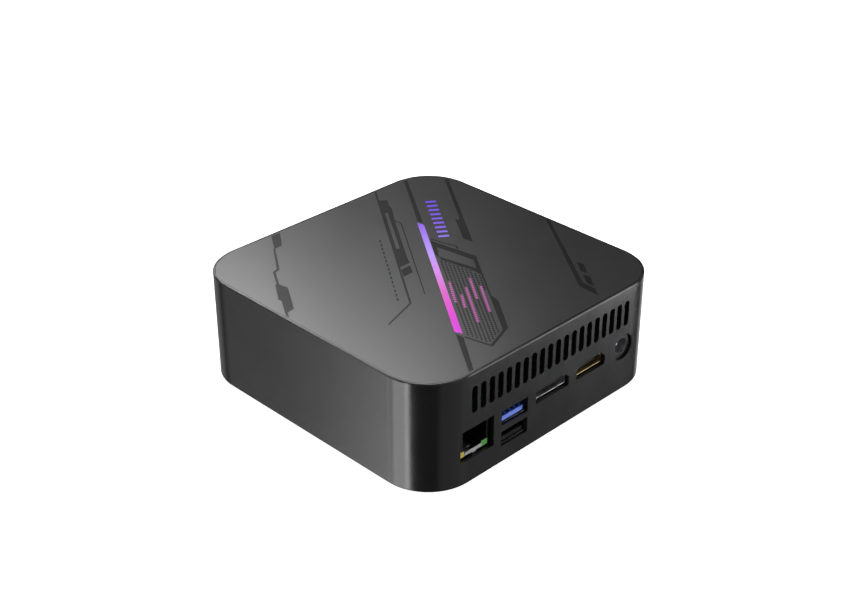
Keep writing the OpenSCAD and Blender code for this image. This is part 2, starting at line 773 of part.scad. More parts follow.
module wifi_card() color("#15402a") lift() difference() {
    union() {
        box(wifi_x, [-26, wifi_y[1]], [card_z, card_z + card_t]);
        box([wifi_x[0] + 1, wifi_x[1] - 1], [wifi_y[0], -25], [card_z, card_z + card_t]);
        box([28, 44], [-22, -4], [card_z - 1.6, card_z]);
        for (x = [32, 40]) translate([x, -1, 0]) rod(18.9, card_z + 0.1, 1.2);
    }
    translate(wifi_hole) rod(card_z - 1, card_z + 2, 1.6);
}

// A standoff with its card screw, hanging from the board
module card_screw() {
    rod(card_z + card_t + hair, board_z, 2.6);
    rod(card_z - hair, card_z + card_t + hair, 1.45);
    difference() {
        rod(card_z - 1.25, card_z - hair, 2.6);
        for (a = [0, 90]) rotate(a) translate([0, 0, card_z - 1.25]) cube([2.8, 0.6, 1], center = true);
    }
}

module card_screws() color("#a9a69c") lift() {
    translate(ssd_hole) card_screw();
    translate(wifi_hole) card_screw();
}

module antennas() color("#6b4a25") lift() for (x = [-1, 1])
    box(wide(x * (inner_half - 0.35), 0.6), [-40, -9], [8, 20]);

// ---- Parts on the main board ----

module coin_cell() color("#b5b8bc") lift() translate([-45, -22, 0]) {
    rod(board_top + 0.2, board_top + 3.1, 10);
    rod(board_top, board_top + 0.2, 8.6);
}

module power_inductors() color("#4a4b4e") lift() for (i = [0:3])
    translate([-46, 1 + i * 8.6, board_top]) {
        translate([-3.4, -3.4, 0.4]) cube([6.8, 6.8, 3.4]);
        for (x = [-1, 1]) translate([x * 2.4 - 0.9, -2.4, 0]) cube([1.8, 4.8, 0.5]);
    }

module capacitor() {
    rod(0.8, 5.4, 2.6);
    translate([-2.7, -2.7, 0]) cube([5.4, 5.4, 0.8]);
}

module capacitors() color("#9b9ea3") lift() {
    for (i = [0:3]) translate([-38, 1 + i * 6.4, board_top]) capacitor();
    for (i = [0:4]) translate([44, -20 + i * 7, board_top]) capacitor();
}

// Chips and headers: centre, size, and whether each stands on the board (1) or hangs under it (-1)
chip_list = [
    [[38, -45], [12, 12, 1.2], 1], [[50, 24], [8, 8, 1], 1], [[-6, -48], [14, 14, 1.2], 1],
    [[14, -46], [7, 7, 1], 1], [[26, -48], [5, 6, 0.9], 1], [[-24, -38], [7, 4, 4.5], 1],
    [[-4, -34], [11, 3, 2.2], 1], [[-10, 40], [8, 8, 1], -1], [[8, 40], [7, 7, 1], -1],
    [[20, 38], [9, 9, 1.1], -1], [[light_x, -56], [3, 2, 3], -1], [[46, -14], [8, 8, 1], -1]];

module board_chips() color("#26272a") lift() for (chip = chip_list)
    translate([chip[0].x - chip[1].x / 2, chip[0].y - chip[1].y / 2,
        chip[2] > 0 ? board_top : board_z - chip[1].z]) cube(chip[1]);

// ---- Rear ports ----

dc_nose_r = 5.35;
dc_bore_r = 3.3;
dc_pin_r = 1.1;
dc_pin_back = 2.1;
dc_tip = 0.5;
dc_face = half - 1.1;

module dc_jack() color("#161617") lift() translate([dc_at[0], 0, dc_at[1]]) difference() {
    union() {
        translate([0, dc_face, 0]) rotate([90, 0, 0]) cylinder(r = dc_nose_r, h = 6);
        box([-5.4, 5.4], [46, rear_in], [-5.6, board_z - dc_at[1]]);
    }
    translate([0, dc_face + 1, 0]) rotate([90, 0, 0]) cylinder(r = dc_bore_r, h = 11);
    translate([0, dc_face, 0]) rotate([90, 0, 0]) cylinder(r = dc_pin_r, h = dc_pin_back + dc_tip + 10);
}

module dc_jack_pin() color("#d9dce0") lift() translate([dc_at[0], dc_face - dc_pin_back, dc_at[1]]) {
    translate([0, -dc_tip, 0]) rotate([90, 0, 0]) cylinder(r = dc_pin_r, h = 10);
    translate([0, -dc_tip, 0]) rotate([-90, 0, 0]) cylinder(r1 = dc_pin_r, r2 = 0.6, h = dc_tip);
}

module hdmi_shell() color("#a4a6a9") lift() difference() {
    union() {
        along_y([50.5, video_face]) hdmi_outline(video_play, video_rise);
        box(wide(hdmi_x, 12), [52, 60], [22, board_z]);
    }
    along_y([51.5, video_face + 1]) hdmi_outline(video_play + video_sheet, video_rise);
}

module displayport_shell() color("#a4a6a9") lift() difference() {
    union() {
        along_y([50.5, video_face]) dp_outline(video_play, video_rise);
        box([-6, 6], [52, 60], [21.8, board_z]);
    }
    along_y([51.5, video_face + 1]) dp_outline(video_play + video_sheet, video_rise);
}

module usb_mouth(x, z, y, inset = 0) along_y(y) centred(x, z, usb_out - [2, 2] * inset);

module usb_rear_shell() color("#aaacaf") lift() difference() {
    union() {
        box(wide(usb_x, usb_out[0]), [46, rear_in], [usb2_z - usb_out[1] / 2, board_z]);
        for (z = [port_z, usb2_z]) usb_mouth(usb_x, z, [rear_in - 1, usb_face]);
    }
    for (z = [port_z, usb2_z]) usb_mouth(usb_x, z, [usb_face - usb_deep, usb_face + 1], usb_sheet);
}

// The tongue lies in the lower half of the mouth. Its front stands back from the mouth's edge.
tongue_w = 11.1;
tongue_z = [-2.16, -0.32];
tongue_back = 0.35;

module usb_tongue(x, z, side)
    box(wide(x, tongue_w),
        side > 0 ? [usb_face - usb_deep, usb_face - tongue_back]
            : [tongue_back - usb_face, usb_deep - usb_face],
        around(z, tongue_z[0], tongue_z[1]));

module blue_tongues() color("#1f4fc4") lift() {
    usb_tongue(usb_x, port_z, 1);
    for (x = front_usb_x) usb_tongue(x, port_z, -1);
}

usb_c_face = half - 1;
usb_c_deep = 7;

module port_tongues() color("#1a1a1b") lift() {
    usb_tongue(usb_x, usb2_z, 1);
    box(wide(hdmi_x, 12), [51.5, hdmi_tongue_face], [18.9, 20.7]);
    box([-6.4, 6.6], [51.5, dp_tongue_face], [19.1, 20.5]);
    box(wide(usb_c_x, 6.6), [0.6 - usb_c_face, usb_c_deep - usb_c_face], wide(port_z, 0.7));
}

contact_t = 0.12;

module usb_contacts(x, z, side) for (i = [-1.5:1:1.5])
    box(wide(x + i * 2.5, 1),
        side > 0 ? [usb_face - 12, usb_face - 1] : [1 - usb_face, 12 - usb_face],
        around(z + tongue_z[1], 0, contact_t));

module lan_contacts() for (i = [-3.5:1:3.5])
    translate([lan_mouth_x + i * 1.02, lan_face - 2, 20.8]) rotate([12, 0, 0]) translate([-0.2, -9.6, -0.2])
        cube([0.4, 9.6, 0.3]);

module video_contacts(x, z, n, pitch, front) for (i = [0:n - 1])
    box(wide(x + (i - (n - 1) / 2) * pitch, 0.32), [front - 7, front - 0.4], around(z, 0, contact_t));

module port_contacts() color("#c9a552") lift() {
    for (z = [port_z, usb2_z]) usb_contacts(usb_x, z, 1);
    for (x = front_usb_x) usb_contacts(x, port_z, -1);
    lan_contacts();
    video_contacts(hdmi_x, 20.7, 10, 1, hdmi_tongue_face);
    video_contacts(0.1, 20.5, 10, 1.1, dp_tongue_face);
}

lan_body = [15.5, 12];
lan_body_low = 10.45;
lan_sheet = 0.25;
lan_tab_z = [0.5, 1.9];
lan_deep = [43, lan_face];

module ethernet_jack() color("#1b1c1d") lift() difference() {
    box(wide(lan_x, lan_body[0]), lan_deep, [lan_body_low, lan_body_low + lan_body[1]]);
    along_y([50, lan_face + 1]) {
        translate([lan_mouth_x - lan_mouth[0] / 2, lan_mouth_low]) square(lan_mouth);
        translate([lan_mouth_x - 3.1, lan_mouth_low - 1.2]) square([6.2, 1.3]);
        translate([lan_mouth_x - 1.7, lan_mouth_low - 1.9]) square([3.4, 2]);
    }
    for (x = lamp_x) box(x, around(lan_face, -lamp_back, 1), lamp_z);
}

lamp_x = [around(lan_x, -6.8, -3.8), around(lan_x, 5, 7.45)];
lamp_z = [10.75, 13.05];
lamp_back = 4;

module ethernet_lamps() color("#58b947") lift()
    for (x = lamp_x) box(x, around(lan_face, -lamp_back, 0.1), lamp_z);

module ethernet_shield() color("#a8aaad") lift() {
    difference() {
        box(wide(lan_x, lan_body[0] + 2 * lan_sheet), [42.75, lan_face - 0.4],
            [lan_body_low - lan_sheet, lan_body_low + lan_body[1] + lan_sheet]);
        box(wide(lan_x, lan_body[0]), [43, half], [lan_body_low, lan_body_low + lan_body[1]]);
    }
    box(wide(lan_x, lan_body[0] - 1), [44, 60], [lan_body_low + lan_body[1] + lan_sheet, board_z]);
    box(wide(lan_x, 2), around(lan_face, -0.5, 0.2), [lan_body_low - lan_sheet, lan_body_low]);
    box(wide(lan_x, 2), around(lan_face, 0, 0.2), around(lan_body_low, -lan_sheet, lan_tab_z[0]));
    box(lan_lip_x, around(lan_face, 0, 0.2), around(lan_body_low, lan_tab_z[0], lan_tab_z[1]));
    box(lan_plate_x, [lan_face - 8, lan_face - 0.6], around(lan_mouth_low, 0, 0.15));
}

// ---- Front ports ----

module usb_c_outline(r) translate([usb_c_x, port_z]) rotate(90) slot(2 * r, -2.84 - r, 2.84 + r);

module front_port_shells() color("#aaacaf") lift() {
    for (x = front_usb_x) difference() {
        union() {
            usb_mouth(x, port_z, [-usb_face, -47]);
            box(wide(x, 11), [-60, -48], [port_z, board_z]);
        }
        usb_mouth(x, port_z, [-usb_face - 1, usb_deep - usb_face], usb_sheet);
    }
    difference() {
        union() {
            along_y([-usb_c_face, -55]) usb_c_outline(1.63);
            box(wide(usb_c_x, 6), [-61, -56], [port_z, board_z]);
        }
        along_y([-usb_c_face - 1, usb_c_deep - usb_c_face]) usb_c_outline(1.33);
    }
}

audio_face = half - 0.8;
audio_r = 1.8;
audio_deep = 12;

module audio_jack() color("#18191a") lift() translate([audio_x, 0, port_z]) difference() {
    union() {
        front_rod(audio_face, rear_in - 1, 3);
        box([-3.4, 3.4], [-rear_in, -49], [-3.2, board_z - port_z]);
    }
    front_rod(audio_face + 1, audio_face - audio_deep, audio_r);
}

button_face = half - 0.1;
button_back = 60.9;
stem_tip = 58.4;
switch_face = 57.5;
plunger_tip = switch_face - 1.4;

module at_button() lift() translate([button_x, 0, port_z]) children();

module power_button() color("#34363a") at_button() difference() {
    union() {
        front_rod(button_face, button_back, 4.9);
        front_rod(inner_half - 0.1, button_back, 5.9);
        front_rod(button_back, stem_tip, 1.5);
    }
    difference() {
        front_rod(button_face + 1, button_face - 0.25, 3.6);
        front_rod(button_face + 1, button_face - 1, 3);
    }
}

module power_switch() color("#1d1e20") at_button() difference() {
    box([-3, 3], [-switch_face, -52.5], [-3, board_z - port_z]);
    front_rod(switch_face + 1, plunger_tip - button_travel - 0.2, 1.3);
}

module switch_plunger() color("#8a8c90") at_button() front_rod(stem_tip, plunger_tip, 1.2);

module power_light() color("#e6eef5") lift() translate([light_x, 0, port_z])
    front_rod(half - 0.1, 57.2, 0.85);

// ---- What is drawn ----

housing();
bottom_cover();
mount_inserts();
cover_screws();
rubber_feet();
top_panel();
top_inlay();
light_bar_lens();
light_marks_lens();
light_dots_lens();
light_guide();
light_board();
light_leds();
light_cable();
mid_frame();
board_screws();
board_pillars();
main_board();
cpu_package();
cpu_die();
cold_plate();
heat_pipes();
heatsink_fins();
cooler_screws();
fan_case();
fan_cover();
fan_bearing();
fan_stator();
fan_rotor();
fan_shaft();
fan_cable();
card_sockets();
memory_modules();
memory_chips();
ssd_card();
wifi_card();
card_screws();
antennas();
antenna_leads();
coin_cell();
power_inductors();
capacitors();
board_chips();
dc_jack();
dc_jack_pin();
hdmi_shell();
displayport_shell();
usb_rear_shell();
front_port_shells();
blue_tongues();
port_tongues();
port_contacts();
ethernet_jack();
ethernet_shield();
ethernet_lamps();
audio_jack();
power_button();
power_switch();
switch_plunger();
power_light();
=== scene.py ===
import math

import bmesh
import bpy
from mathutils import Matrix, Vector


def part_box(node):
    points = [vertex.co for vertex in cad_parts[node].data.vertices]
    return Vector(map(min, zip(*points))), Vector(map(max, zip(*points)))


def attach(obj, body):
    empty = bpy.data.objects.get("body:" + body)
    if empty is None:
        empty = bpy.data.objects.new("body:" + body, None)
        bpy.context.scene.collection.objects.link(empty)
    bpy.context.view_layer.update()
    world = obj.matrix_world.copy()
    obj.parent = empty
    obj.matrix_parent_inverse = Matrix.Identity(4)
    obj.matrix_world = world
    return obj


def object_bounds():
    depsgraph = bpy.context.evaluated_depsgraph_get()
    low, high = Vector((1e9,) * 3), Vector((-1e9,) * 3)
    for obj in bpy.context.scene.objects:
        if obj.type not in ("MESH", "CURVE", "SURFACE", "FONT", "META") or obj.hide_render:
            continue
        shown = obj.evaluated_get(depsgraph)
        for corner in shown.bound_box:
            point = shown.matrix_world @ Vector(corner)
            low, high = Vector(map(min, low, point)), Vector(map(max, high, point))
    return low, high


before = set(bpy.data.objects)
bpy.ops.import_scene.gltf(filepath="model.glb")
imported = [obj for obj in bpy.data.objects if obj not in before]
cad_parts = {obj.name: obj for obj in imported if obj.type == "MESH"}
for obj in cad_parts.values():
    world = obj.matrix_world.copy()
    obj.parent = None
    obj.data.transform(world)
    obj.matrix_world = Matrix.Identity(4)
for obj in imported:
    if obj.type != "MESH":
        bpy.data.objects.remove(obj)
cad_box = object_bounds()

# A square mini PC in dark satin plastic, with a lit inlay in its top panel.
# Lengths are in metres, and MM turns millimetres into metres. Azimuths and elevations are in degrees.

MM = 0.001
BODY = "chassis"
TOP = cad_box[1].z


# ---- Camera ----

LENS, SENSOR_WIDTH = 62.93, 36
CAMERA_TARGET = Vector((-0.371, 0.371, 30.134)) * MM
CAMERA_DISTANCE = 582.24 * MM
CAMERA_AZIMUTH, CAMERA_ELEVATION = 45.08, 30.02
NEAREST_SEEN = 10 * MM


def direction(azimuth, elevation):
    """The unit vector at that azimuth from +X towards +Y, and that elevation above the horizon."""
    a, e = math.radians(azimuth), math.radians(elevation)
    return Vector((math.cos(a) * math.cos(e), math.sin(a) * math.cos(e), math.sin(e)))


def aim(obj, place, target):
    """Puts an object at a place, with its -Z axis on the target and its Y axis up."""
    obj.location = place
    obj.rotation_euler = (target - place).to_track_quat("-Z", "Y").to_euler()


def make_camera():
    data = bpy.data.cameras.new("camera")
    data.lens = LENS
    data.sensor_width = SENSOR_WIDTH
    data.clip_start = NEAREST_SEEN
    camera = bpy.data.objects.new("camera", data)
    bpy.context.scene.collection.objects.link(camera)
    away = CAMERA_DISTANCE * direction(CAMERA_AZIMUTH, CAMERA_ELEVATION)
    aim(camera, CAMERA_TARGET + away, CAMERA_TARGET)
    bpy.context.scene.camera = camera


# ---- Studio ----

def softbox(name, azimuth, elevation, distance, width, height, radiance):
    """An evenly bright panel that faces the object. Its radiance sets how bright a mirror shows it."""
    data = bpy.data.lights.new(name, "AREA")
    data.shape = "RECTANGLE"
    data.size = width
    data.size_y = height
    data.energy = radiance * math.pi * width * height
    lamp = bpy.data.objects.new(name, data)
    bpy.context.scene.collection.objects.link(lamp)
    lamp.visible_camera = False
    centre = (cad_box[0] + cad_box[1]) / 2
    aim(lamp, centre + distance * direction(azimuth, elevation), centre)


def make_lights():
    """Panels as softbox() takes them: azimuth, elevation, distance, width, height and radiance."""
    # Above: keys whose mirror image fades across the top, soft fill, and a sheen for each other view
    softbox("key_near", -116, 39, 1.0, 0.21, 0.21, 17.5)
    softbox("key_middle", -130, 39, 1.0, 0.21, 0.21, 1.7)
    softbox("key_high", -130, 47, 1.0, 0.18, 0.21, 14)
    softbox("key_right", -162, 38, 1.0, 0.5, 0.3, 0.35)
    softbox("fill_rear", 90, 38, 1.2, 1.0, 0.6, 1.2)
    softbox("fill_right", 0, 40, 1.2, 0.8, 0.6, 1.2)
    softbox("fill_left", 170, 38, 1.2, 0.8, 0.6, 1.2)
    softbox("top_sheen", -45, 24, 1.2, 1.2, 0.5, 0.8)
    softbox("rear_sheen", 45, 24, 1.2, 1.0, 0.4, 0.6)
    softbox("left_sheen", 135, 24, 1.2, 1.0, 0.4, 0.6)
    # Below the horizon, where the upright walls mirror: strips for the near corner, and panels for each wall
    softbox("corner_strip", -9, -28, 0.8, 0.44, 0.8, 3.8)
    softbox("corner_edge", 6, -28, 0.8, 0.08, 0.8, 4.8)
    softbox("corner_panel", 95, -28, 0.8, 0.75, 0.8, 0.26)
    softbox("rear_wall", 141, -28, 0.8, 0.3, 0.8, 0.08)
    softbox("side_edge", -36.5, -28, 0.8, 0.12, 0.8, 2.75)
    softbox("side_panel", -50, -28, 0.8, 0.24, 0.8, 0.35)
    softbox("rear_panel", 134, -15, 0.8, 0.5, 0.18, 16)
    softbox("front_panel", -92, -28, 0.9, 0.6, 0.5, 0.3)
    softbox("rear_low", 45, -10, 0.9, 0.9, 0.25, 0.6)
    softbox("left_low", 225, -10, 0.9, 0.9, 0.25, 0.5)
    softbox("front_low", -90, -8, 0.9, 1.0, 0.3, 0.6)
    softbox("left_panel", 200, -28, 0.9, 0.6, 0.5, 0.7)


def stage_material(name, colour, emission):
    material = bpy.data.materials.new(name)
    material.use_nodes = True
    shader = material.node_tree.nodes["Principled BSDF"]
    shader.inputs["Base Color"].default_value = (*colour, 1)
    shader.inputs["Roughness"].default_value = 0.7
    shader.inputs["Specular IOR Level"].default_value = 0.2
    shader.inputs["Emission Color"].default_value = (1, 1, 1, 1)
    shader.inputs["Emission Strength"].default_value = emission
    return material


def stage_object(name, make, colour, emission, **shape):
    """A floor or backdrop. The object neither mirrors it nor takes light from it."""
    mesh = bpy.data.meshes.new(name)
    build = bmesh.new()
    make(build, **shape)
    build.to_mesh(mesh)
    build.free()
    mesh.materials.append(stage_material(name, colour, emission))
    obj = bpy.data.objects.new(name, mesh)
    bpy.context.scene.collection.objects.link(obj)
    obj.visible_glossy = False
    obj.visible_diffuse = False
    obj.visible_transmission = False
    obj.visible_shadow = False
    return obj


def make_stage():
    """A pale floor under a white dome."""
    pale, black, glow = (0.92, 0.92, 0.92), (0, 0, 0), 1.0
    floor = stage_object("floor", bmesh.ops.create_circle, pale, glow, cap_ends=True, segments=96, radius=4)
    floor.location.z = cad_box[0].z
    dome = {"u_segments": 48, "v_segments": 24, "radius": 4.2}
    stage_object("backdrop", bmesh.ops.create_uvsphere, black, glow, **dome)


def make_world():
    world = bpy.data.worlds.new("studio")
    world.use_nodes = True
    background = world.node_tree.nodes["Background"]
    background.inputs["Color"].default_value = (0.02, 0.02, 0.02, 1)
    background.inputs["Strength"].default_value = 1
    bpy.context.scene.world = world
    bpy.context.scene.view_settings.view_transform = "Standard"


# ---- Materials ----

def linear(code):
    """A colour written as #rrggbb, as linear RGB."""
    parts = [int(code[i:i + 2], 16) / 255 for i in (1, 3, 5)]
    return tuple(c / 12.92 if c <= 0.04045 else ((c + 0.055) / 1.055) ** 2.4 for c in parts)


def shade(colour, factor):
    return tuple(min(1, c * factor) for c in colour)


SOCKETS = {"ior": "IOR", "coat_weight": "Coat Weight", "coat_roughness": "Coat Roughness",
           "transmission_weight": "Transmission Weight", "subsurface_weight": "Subsurface Weight",
           "sheen_weight": "Sheen Weight"}


# Axes for distance(): a ring round an upright axis, and one round an axis that runs to the rear
FROM_ABOVE, FROM_THE_FRONT = (1, 1, 0), (1, 0, 1)


def middle(name):
    low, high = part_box(name)
    return (low + high) / 2


class Look:
    """A material under construction: one Principled shader, and the textures that feed it.
    Textures follow the object's own coordinates, in metres, so a scale of 1000 has features of about 1 mm."""

    def __init__(self, name, roughness=0.5, metallic=0.0, **constants):
        self.material = bpy.data.materials.new(name)
        self.material.use_nodes = True
        self.tree = self.material.node_tree
        self.shader = self.tree.nodes["Principled BSDF"]
        self.shader.inputs["Roughness"].default_value = roughness
        self.shader.inputs["Metallic"].default_value = metallic
        for socket, value in constants.items():
            self.shader.inputs[SOCKETS[socket]].default_value = value
        self.place = self.node("TexCoord").outputs["Object"]
        self.normal = None

    def node(self, kind, **settings):
        made = self.tree.nodes.new("ShaderNode" + kind)
        for name, value in settings.items():
            setattr(made, name, value)
        return made

    def feed(self, socket, value):
        """Links an output to a socket, or sets the socket to a constant."""
        if isinstance(value, bpy.types.NodeSocket):
            self.tree.links.new(value, socket)
        else:
            socket.default_value = value

    def stretched(self, scale):
        """The coordinates, scaled along each axis."""
        made = self.node("VectorMath", operation="MULTIPLY")
        self.feed(made.inputs[0], self.place)
        made.inputs[1].default_value = scale
        return made.outputs["Vector"]

    def noise(self, scale, detail=2.0, along=None):
        made = self.node("TexNoise")
        self.feed(made.inputs["Vector"], self.stretched(along) if along else self.place)
        made.inputs["Scale"].default_value = scale
        made.inputs["Detail"].default_value = detail
        return made.outputs["Factor" if "Factor" in made.outputs else "Fac"]

    def cells(self, scale, metric="EUCLIDEAN", output="Distance"):
        made = self.node("TexVoronoi", distance=metric)
        self.feed(made.inputs["Vector"], self.place)
        made.inputs["Scale"].default_value = scale
        return made.outputs[output]

    def maths(self, operation, a, b=0.0, c=0.0):
        made = self.node("Math", operation=operation)
        for socket, value in zip(made.inputs, (a, b, c)):
            self.feed(socket, value)
        return made.outputs[0]

    def fit(self, value, low, high, to_low, to_high):
        """The value, mapped from one range to another and kept inside it."""
        made = self.node("MapRange")
        for socket, given in zip(made.inputs, (value, low, high, to_low, to_high)):
            self.feed(socket, given)
        return made.outputs[0]

    def along(self, x, y, z):
        """How far a point lies along a direction, in metres."""
        made = self.node("VectorMath", operation="DOT_PRODUCT")
        self.feed(made.inputs[0], self.place)
        made.inputs[1].default_value = (x, y, z)
        return made.outputs["Value"]

    def distance(self, centre, axes):
        """How far a point lies from a centre, in metres, along the axes marked 1 alone."""
        made = self.node("VectorMath", operation="DISTANCE")
        self.feed(made.inputs[0], self.stretched(axes))
        made.inputs[1].default_value = [place * axis for place, axis in zip(centre, axes)]
        return made.outputs["Value"]

    def waves(self, length, pitch):
        """Even waves from 0 to 1 along a length, one for each pitch."""
        sine = self.maths("SINE", self.maths("MULTIPLY", length, math.tau / pitch))
        return self.maths("MULTIPLY_ADD", sine, 0.5, 0.5)

    def mixed(self, factor, a, b):
        made = self.node("Mix", data_type="RGBA")
        self.feed(made.inputs["Factor"], factor)
        for socket, value in zip([s for s in made.inputs if s.type == "RGBA"], (a, b)):
            self.feed(socket, (*value, 1) if isinstance(value, tuple) else value)
        return [s for s in made.outputs if s.type == "RGBA"][0]

    def ramp(self, factor, stops):
        """A colour that runs through (place, colour) stops."""
        made = self.node("ValToRGB")
        elements = made.color_ramp.elements
        while len(elements) < len(stops):
            elements.new(1)
        for element, (at, colour) in zip(elements, stops):
            element.position = at
            element.color = (*colour, 1)
        self.feed(made.inputs["Fac"], factor)
        return made.outputs["Color"]

    def colour(self, value):
        self.feed(self.shader.inputs["Base Color"], (*value, 1) if isinstance(value, tuple) else value)
        return self

    def roughness(self, value):
        self.feed(self.shader.inputs["Roughness"], value)
        return self

    def bump(self, height, depth):
        """Adds relief, depth metres from its lowest to its highest point."""
        made = self.node("Bump")
        self.feed(made.inputs["Height"], height)
        made.inputs["Distance"].default_value = depth
        made.inputs["Strength"].default_value = 1
        if self.normal:
            self.feed(made.inputs["Normal"], self.normal)
        self.normal = made.outputs["Normal"]
        self.feed(self.shader.inputs["Normal"], self.normal)
        return self


def moulded(name, colour, roughness, grain=4500, depth=0.008 * MM, drift=0.12, marking=0.08, **constants):
    """Moulded plastic: a fine spark-eroded grain, a slow drift in tone, and faint marks in its gloss.
    Drift and marking are shares of the tone and of the roughness."""
    look = Look(name, **constants)
    tone = look.noise(28, 3)
    look.colour(look.mixed(tone, shade(colour, 1 - drift), shade(colour, 1 + drift)))
    marks = look.noise(90, 4)
    look.roughness(look.fit(marks, 0.3, 0.7, roughness * (1 - marking), roughness * (1 + marking)))
    look.bump(look.noise(grain, 2), depth)
    return look


def metal(name, colour, roughness, lines=(1, 1, 1), scale=900, tarnish=None):
    """Sheet or plated metal: fine lines left by rolling or turning, and a slight bloom on its surface.
    The lines run along the axis whose share in lines is small."""
    look = Look(name, metallic=1)
    bloom = look.noise(160, 4)
    look.colour(look.mixed(look.fit(bloom, 0.35, 0.7, 0, 1), colour, tarnish or shade(colour, 0.82)))
    streaks = look.noise(scale, 3, along=lines)
    look.roughness(look.fit(streaks, 0.25, 0.75, roughness * 0.75, roughness * 1.3))
    look.bump(streaks, 0.004 * MM)
    return look


def case_look():
    return moulded("case_plastic", linear("#181818"), 0.22)


def panel_look():
    return moulded("panel", linear("#1e1e1e"), 0.3, grain=5200, depth=0.006 * MM, drift=0.05, marking=0.03)


def inlay_look():
    return moulded("inlay", linear("#131313"), 0.36, grain=6000, depth=0.003 * MM, ior=1.22)


def print_look():
    """Matt black ink, which mirrors less than the inlay."""
    return moulded("dot_print", linear("#0a0a0a"), 0.6, grain=6000, depth=0.002 * MM, ior=1.12)


def cover_look():
    return moulded("cover_plastic", linear("#242424"), 0.42, grain=2600, depth=0.014 * MM)


def button_look():
    """The button's cap: the case's plastic with finer, turned rings."""
    relief, ring_pitch = 0.003 * MM, 0.16 * MM
    look = moulded("button_plastic", linear("#2a2a2b"), 0.3, grain=6000, depth=relief)
    radius = look.distance(middle("power_button"), FROM_THE_FRONT)
    return look.bump(look.waves(radius, ring_pitch), relief)


# The light bar and all its lines climb at this angle
ART_ANGLE = 54.6
ART_ALONG = (math.cos(math.radians(ART_ANGLE)), math.sin(math.radians(ART_ANGLE)))
ART_ACROSS = (-ART_ALONG[1], ART_ALONG[0])


def lit(name, stops, start, end, strength, beads=None):
    """A lit diffuser: its colour runs along the art's slope from start to end, in metres.
    Beads is the pitch of the bright spots in it."""
    look = Look(name, roughness=0.4, ior=1.25)
    run = look.along(*ART_ALONG, 0)
    place = look.fit(run, start, end, 0, 1)
    hue = look.ramp(place, [(at, linear(code)) for at, code in stops])
    glow = look.fit(look.noise(450, 2), 0.3, 0.7, 0.94, 1.05)
    if beads:
        dim, bright = 0.2, 1.5
        glow = look.maths("MULTIPLY", glow, look.fit(look.waves(run, beads), 0.2, 0.7, dim, bright))
    look.feed(look.shader.inputs["Emission Color"], look.mixed(glow, (0, 0, 0), hue))
    look.shader.inputs["Emission Strength"].default_value = strength
    look.colour(look.mixed(0.9, hue, (0.02, 0.02, 0.02)))
    return look


def bar_look():
    stops = [(0, "#8a5ae0"), (0.3, "#b494f0"), (0.46, "#d084e4"),
             (0.64, "#d45cc0"), (0.84, "#da34cc"), (1, "#d030d8")]
    return lit("bar_lens", stops, -36 * MM, 51 * MM, 1.0)


def marks_look():
    return lit("marks_lens", [(0, "#6a3fe0"), (0.6, "#7d55ea"), (1, "#9473e8")], -58 * MM, -22 * MM, 0.9)


def dots_look():
    return lit("dots_lens", [(0, "#cf6fbb"), (1, "#d650c0")], 8 * MM, 46 * MM, 0.75, beads=1.5 * MM)


def board_look():
    """Solder resist over copper: bundles of fine tracks that run along X or Y in patches, and small vias."""
    mask, track, tin = linear("#12402a"), linear("#1d5f3c"), (0.55, 0.53, 0.48)
    look = Look("circuit_board", roughness=0.35, coat_weight=0.4, coat_roughness=0.2)
    patch = look.node("SeparateColor")
    look.feed(patch.inputs["Color"], look.cells(110, metric="CHEBYCHEV", output="Color"))
    track_pitch = 0.6 * MM
    across = look.fit(look.waves(look.along(0, 1, 0), track_pitch), 0.45, 0.6, 0, 1)
    along = look.fit(look.waves(look.along(1, 0, 0), track_pitch), 0.45, 0.6, 0, 1)
    rows = look.maths("MULTIPLY", across, look.maths("LESS_THAN", patch.outputs[0], 0.35))
    columns = look.maths("MULTIPLY", along, look.maths("GREATER_THAN", patch.outputs[0], 0.65))
    tracks = look.maths("ADD", rows, columns)
    vias = look.maths("LESS_THAN", look.cells(420), 0.13)
    look.colour(look.mixed(vias, look.mixed(tracks, mask, track), tin))
    look.roughness(look.fit(look.noise(300, 3), 0.3, 0.7, 0.28, 0.42))
    return look.bump(look.maths("MAXIMUM", tracks, vias), 0.02 * MM)


def chip_look():
    """Moulded epoxy: nearly black, matt, with a coarse laser-cleaned tone on it."""
    return moulded("chip", linear("#1b1b1d"), 0.5, grain=3200, depth=0.01 * MM, drift=0.3)


def led_look():
    """Yellow phosphor in a cream body."""
    look = Look("led", roughness=0.4, subsurface_weight=0.2)
    phosphor = look.fit(look.noise(700), 0.4, 0.6, 0, 1)
    return look.colour(look.mixed(phosphor, linear("#f0ead2"), linear("#e8d27a")))


def ribbon_look():
    """Flat cable: its conductors show through as darker lines."""
    look = Look("ribbon", roughness=0.45)
    lines = look.fit(look.waves(look.along(1, 0, 0), 1.0 * MM), 0.55, 0.75, 0, 1)
    look.colour(look.mixed(lines, linear("#d8d2c0"), linear("#9a8f78")))
    return look.bump(lines, 0.03 * MM)


def silicon_look():
    look = Look("silicon", roughness=0.12, metallic=0.7)
    look.colour(look.mixed(look.noise(220, 2), linear("#5b5f68"), linear("#7c8290")))
    return look.roughness(look.fit(look.noise(900, 3), 0.3, 0.7, 0.08, 0.18))


def copper_look():
    return metal("copper", (0.86, 0.42, 0.24), 0.28, lines=(1, 0.06, 1), tarnish=(0.5, 0.22, 0.13))


def fins_look():
    """Near-black fins: painted shade, so that the vents stay dark."""
    return metal("aluminium_fins", (0.035, 0.035, 0.037), 0.5, lines=(1, 1, 0.05))


def brass_look():
    return metal("brass", (0.75, 0.56, 0.25), 0.25, lines=(0.1, 0.1, 1), scale=2500)


def screw_look():
    return metal("screw_steel", (0.66, 0.66, 0.68), 0.25, scale=1800)


